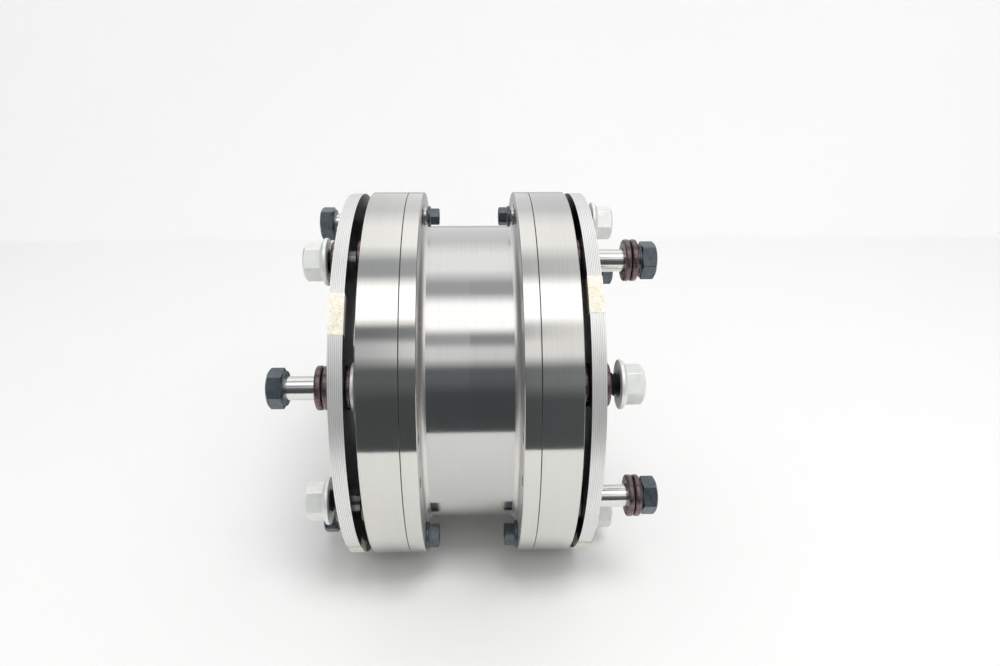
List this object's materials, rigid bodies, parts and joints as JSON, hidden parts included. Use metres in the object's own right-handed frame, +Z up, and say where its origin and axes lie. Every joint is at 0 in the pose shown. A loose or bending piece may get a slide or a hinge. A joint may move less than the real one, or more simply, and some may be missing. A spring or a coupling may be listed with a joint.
{
  "type": "flexible disc coupling spacer assembly",
  "caption": "Flanged spacer tube with an adapter ring and a laminated flexible disc pack at each end, held by bolts, washers and flange nuts, with loose bolts for the shaft hubs",
  "frame": {"origin": "On the axis of rotation, midway between the two flanges of the spacer.", "axes": "X is the axis of rotation; the end called left is -X and the end called right is +X. Z points up as the part lies on its side. Angles go round X from -Y (0 degrees) to the top (90 degrees)."},
  "size_m": [0.2108, 0.2286, 0.2286],
  "materials": {
    "turned_steel": "Fine-turned bright stainless steel, satin, with faint circular tool marks",
    "disc_steel": "Rolled stainless sheet, stacked, with fine lines between the discs",
    "masking_tape": "Matt crinkled cream paper tape",
    "black_bolt_steel": "Black oxide with a slight oily sheen; the ground bodies are bright",
    "black_screw_steel": "Black oxide, semi-matt",
    "zinc_plate": "Pale zinc plate, semi-bright",
    "dark_washer_steel": "Dark heat-treated steel, brownish, oily sheen"
  },
  "bodies": {
    "spacer_assembly": {"spacer": "turned_steel", "adapter_ring_left": "turned_steel", "adapter_ring_right": "turned_steel", "ring_screws": "black_screw_steel", "balance_screws_small": "black_screw_steel", "balance_screws_large": "black_screw_steel", "balance_washers_small": "dark_washer_steel", "balance_washers_large": "dark_washer_steel", "balance_collars": "zinc_plate", "disc_pack_right": "disc_steel", "tape_right": "masking_tape", "hub_thrust_washers_right": "dark_washer_steel", "pack_bolts": "black_bolt_steel", "ring_washers": "dark_washer_steel"},
    "left_pack": {"disc_pack_left": "disc_steel", "tape_left": "masking_tape", "hub_thrust_washers_left": "dark_washer_steel"},
    "hub_bolt_left_1": {"hub_bolt_left_1": "black_bolt_steel", "hub_nut_left_1": "zinc_plate"},
    "hub_washers_left_1": {"hub_washers_left_1": "dark_washer_steel"},
    "hub_bolt_left_2": {"hub_bolt_left_2": "black_bolt_steel", "hub_nut_left_2": "zinc_plate"},
    "hub_washers_left_2": {"hub_washers_left_2": "dark_washer_steel"},
    "hub_bolt_left_3": {"hub_bolt_left_3": "black_bolt_steel", "hub_nut_left_3": "zinc_plate"},
    "hub_washers_left_3": {"hub_washers_left_3": "dark_washer_steel"},
    "hub_bolt_left_4": {"hub_bolt_left_4": "black_bolt_steel", "hub_nut_left_4": "zinc_plate"},
    "hub_washers_left_4": {"hub_washers_left_4": "dark_washer_steel"},
    "pack_washer_left_1": {"pack_washer_left_1": "dark_washer_steel"},
    "pack_nut_left_1": {"pack_nut_left_1": "zinc_plate"},
    "pack_washer_left_2": {"pack_washer_left_2": "dark_washer_steel"},
    "pack_nut_left_2": {"pack_nut_left_2": "zinc_plate"},
    "pack_washer_left_3": {"pack_washer_left_3": "dark_washer_steel"},
    "pack_nut_left_3": {"pack_nut_left_3": "zinc_plate"},
    "pack_washer_left_4": {"pack_washer_left_4": "dark_washer_steel"},
    "pack_nut_left_4": {"pack_nut_left_4": "zinc_plate"},
    "hub_bolt_right_1": {"hub_bolt_right_1": "black_bolt_steel", "hub_nut_right_1": "zinc_plate"},
    "hub_washers_right_1": {"hub_washers_right_1": "dark_washer_steel"},
    "hub_bolt_right_2": {"hub_bolt_right_2": "black_bolt_steel", "hub_nut_right_2": "zinc_plate"},
    "hub_washers_right_2": {"hub_washers_right_2": "dark_washer_steel"},
    "hub_bolt_right_3": {"hub_bolt_right_3": "black_bolt_steel", "hub_nut_right_3": "zinc_plate"},
    "hub_washers_right_3": {"hub_washers_right_3": "dark_washer_steel"},
    "hub_bolt_right_4": {"hub_bolt_right_4": "black_bolt_steel", "hub_nut_right_4": "zinc_plate"},
    "hub_washers_right_4": {"hub_washers_right_4": "dark_washer_steel"},
    "pack_washer_right_1": {"pack_washer_right_1": "dark_washer_steel"},
    "pack_nut_right_1": {"pack_nut_right_1": "zinc_plate"},
    "pack_washer_right_2": {"pack_washer_right_2": "dark_washer_steel"},
    "pack_nut_right_2": {"pack_nut_right_2": "zinc_plate"},
    "pack_washer_right_3": {"pack_washer_right_3": "dark_washer_steel"},
    "pack_nut_right_3": {"pack_nut_right_3": "zinc_plate"},
    "pack_washer_right_4": {"pack_washer_right_4": "dark_washer_steel"},
    "pack_nut_right_4": {"pack_nut_right_4": "zinc_plate"}
  },
  "joints": [
    {"name": "pack_float_left", "type": "slide", "parent": "spacer_assembly", "child": "left_pack", "axis": [1, 0, 0], "range_m": [0, 0.0024]},
    {"name": "hub_bolt_left_1_slide", "type": "slide", "parent": "left_pack", "child": "hub_bolt_left_1", "axis": [1, 0, 0], "range_m": [0, 0.0077]},
    {"name": "hub_washers_left_1_slide", "type": "slide", "parent": "left_pack", "child": "hub_washers_left_1", "axis": [-1, 0, 0], "range_m": [-0.0007, 0.0077]},
    {"name": "hub_bolt_left_2_slide", "type": "slide", "parent": "left_pack", "child": "hub_bolt_left_2", "axis": [1, 0, 0], "range_m": [0, 0.0023]},
    {"name": "hub_washers_left_2_slide", "type": "slide", "parent": "left_pack", "child": "hub_washers_left_2", "axis": [-1, 0, 0], "range_m": [-0.0004, 0.0023]},
    {"name": "hub_bolt_left_3_slide", "type": "slide", "parent": "left_pack", "child": "hub_bolt_left_3", "axis": [1, 0, 0], "range_m": [0, 0.0043]},
    {"name": "hub_washers_left_3_slide", "type": "slide", "parent": "left_pack", "child": "hub_washers_left_3", "axis": [-1, 0, 0], "range_m": [-0.0002, 0.0043]},
    {"name": "hub_bolt_left_4_slide", "type": "slide", "parent": "left_pack", "child": "hub_bolt_left_4", "axis": [1, 0, 0], "range_m": [0, 0.0028]},
    {"name": "hub_washers_left_4_slide", "type": "slide", "parent": "left_pack", "child": "hub_washers_left_4", "axis": [-1, 0, 0], "range_m": [-0.0004, 0.0028]},
    {"name": "pack_nut_left_1_travel", "type": "slide", "parent": "spacer_assembly", "child": "pack_washer_left_1", "axis": [-1, 0, 0], "range_m": [0, 0.0044]},
    {"name": "pack_nut_left_1_turn", "type": "hinge", "parent": "pack_washer_left_1", "child": "pack_nut_left_1", "pos_m": [-0.084, -0.03645, 0.088], "axis": [-1, 0, 0], "range_deg": [0, 812]},
    {"name": "pack_nut_left_2_travel", "type": "slide", "parent": "spacer_assembly", "child": "pack_washer_left_2", "axis": [-1, 0, 0], "range_m": [0, 0.0044]},
    {"name": "pack_nut_left_2_turn", "type": "hinge", "parent": "pack_washer_left_2", "child": "pack_nut_left_2", "pos_m": [-0.084, 0.088, 0.03645], "axis": [-1, 0, 0], "range_deg": [0, 812]},
    {"name": "pack_nut_left_3_travel", "type": "slide", "parent": "spacer_assembly", "child": "pack_washer_left_3", "axis": [-1, 0, 0], "range_m": [0, 0.0044]},
    {"name": "pack_nut_left_3_turn", "type": "hinge", "parent": "pack_washer_left_3", "child": "pack_nut_left_3", "pos_m": [-0.084, 0.03645, -0.088], "axis": [-1, 0, 0], "range_deg": [0, 812]},
    {"name": "pack_nut_left_4_travel", "type": "slide", "parent": "spacer_assembly", "child": "pack_washer_left_4", "axis": [-1, 0, 0], "range_m": [0, 0.0044]},
    {"name": "pack_nut_left_4_turn", "type": "hinge", "parent": "pack_washer_left_4", "child": "pack_nut_left_4", "pos_m": [-0.084, -0.088, -0.03645], "axis": [-1, 0, 0], "range_deg": [0, 812]},
    {"name": "hub_bolt_right_1_slide", "type": "slide", "parent": "spacer_assembly", "child": "hub_bolt_right_1", "axis": [-1, 0, 0], "range_m": [0, 0.0083]},
    {"name": "hub_washers_right_1_slide", "type": "slide", "parent": "hub_bolt_right_1", "child": "hub_washers_right_1", "axis": [-1, 0, 0], "range_m": [-0.00115, 0.0083]},
    {"name": "hub_bolt_right_2_slide", "type": "slide", "parent": "spacer_assembly", "child": "hub_bolt_right_2", "axis": [-1, 0, 0], "range_m": [0, 0.0092]},
    {"name": "hub_washers_right_2_slide", "type": "slide", "parent": "hub_bolt_right_2", "child": "hub_washers_right_2", "axis": [-1, 0, 0], "range_m": [-0.0001, 0.0092]},
    {"name": "hub_bolt_right_3_slide", "type": "slide", "parent": "spacer_assembly", "child": "hub_bolt_right_3", "axis": [-1, 0, 0], "range_m": [0, 0.0037]},
    {"name": "hub_washers_right_3_slide", "type": "slide", "parent": "hub_bolt_right_3", "child": "hub_washers_right_3", "axis": [-1, 0, 0], "range_m": [-0.0003, 0.0037]},
    {"name": "hub_bolt_right_4_slide", "type": "slide", "parent": "spacer_assembly", "child": "hub_bolt_right_4", "axis": [-1, 0, 0], "range_m": [0, 0.0092]},
    {"name": "hub_washers_right_4_slide", "type": "slide", "parent": "hub_bolt_right_4", "child": "hub_washers_right_4", "axis": [-1, 0, 0], "range_m": [0, 0.0092]},
    {"name": "pack_nut_right_1_travel", "type": "slide", "parent": "spacer_assembly", "child": "pack_washer_right_1", "axis": [1, 0, 0], "range_m": [0, 0.0044]},
    {"name": "pack_nut_right_1_turn", "type": "hinge", "parent": "pack_washer_right_1", "child": "pack_nut_right_1", "pos_m": [0.084, -0.088, 0.03645], "axis": [1, 0, 0], "range_deg": [0, 812]},
    {"name": "pack_nut_right_2_travel", "type": "slide", "parent": "spacer_assembly", "child": "pack_washer_right_2", "axis": [1, 0, 0], "range_m": [0, 0.0044]},
    {"name": "pack_nut_right_2_turn", "type": "hinge", "parent": "pack_washer_right_2", "child": "pack_nut_right_2", "pos_m": [0.084, 0.03645, 0.088], "axis": [1, 0, 0], "range_deg": [0, 812]},
    {"name": "pack_nut_right_3_travel", "type": "slide", "parent": "spacer_assembly", "child": "pack_washer_right_3", "axis": [1, 0, 0], "range_m": [0, 0.0044]},
    {"name": "pack_nut_right_3_turn", "type": "hinge", "parent": "pack_washer_right_3", "child": "pack_nut_right_3", "pos_m": [0.084, 0.088, -0.03645], "axis": [1, 0, 0], "range_deg": [0, 812]},
    {"name": "pack_nut_right_4_travel", "type": "slide", "parent": "spacer_assembly", "child": "pack_washer_right_4", "axis": [1, 0, 0], "range_m": [0, 0.0044]},
    {"name": "pack_nut_right_4_turn", "type": "hinge", "parent": "pack_washer_right_4", "child": "pack_nut_right_4", "pos_m": [0.084, -0.03645, -0.088], "axis": [1, 0, 0], "range_deg": [0, 812]}
  ],
  "couplings": [
    {"joint": "pack_nut_left_1_turn", "follows": "pack_nut_left_1_travel", "rad_per_m": 3215.8},
    {"joint": "pack_nut_left_2_turn", "follows": "pack_nut_left_2_travel", "rad_per_m": 3215.8},
    {"joint": "pack_nut_left_3_turn", "follows": "pack_nut_left_3_travel", "rad_per_m": 3215.8},
    {"joint": "pack_nut_left_4_turn", "follows": "pack_nut_left_4_travel", "rad_per_m": 3215.8},
    {"joint": "pack_nut_right_1_turn", "follows": "pack_nut_right_1_travel", "rad_per_m": 3215.8},
    {"joint": "pack_nut_right_2_turn", "follows": "pack_nut_right_2_travel", "rad_per_m": 3215.8},
    {"joint": "pack_nut_right_3_turn", "follows": "pack_nut_right_3_travel", "rad_per_m": 3215.8},
    {"joint": "pack_nut_right_4_turn", "follows": "pack_nut_right_4_travel", "rad_per_m": 3215.8}
  ]
}
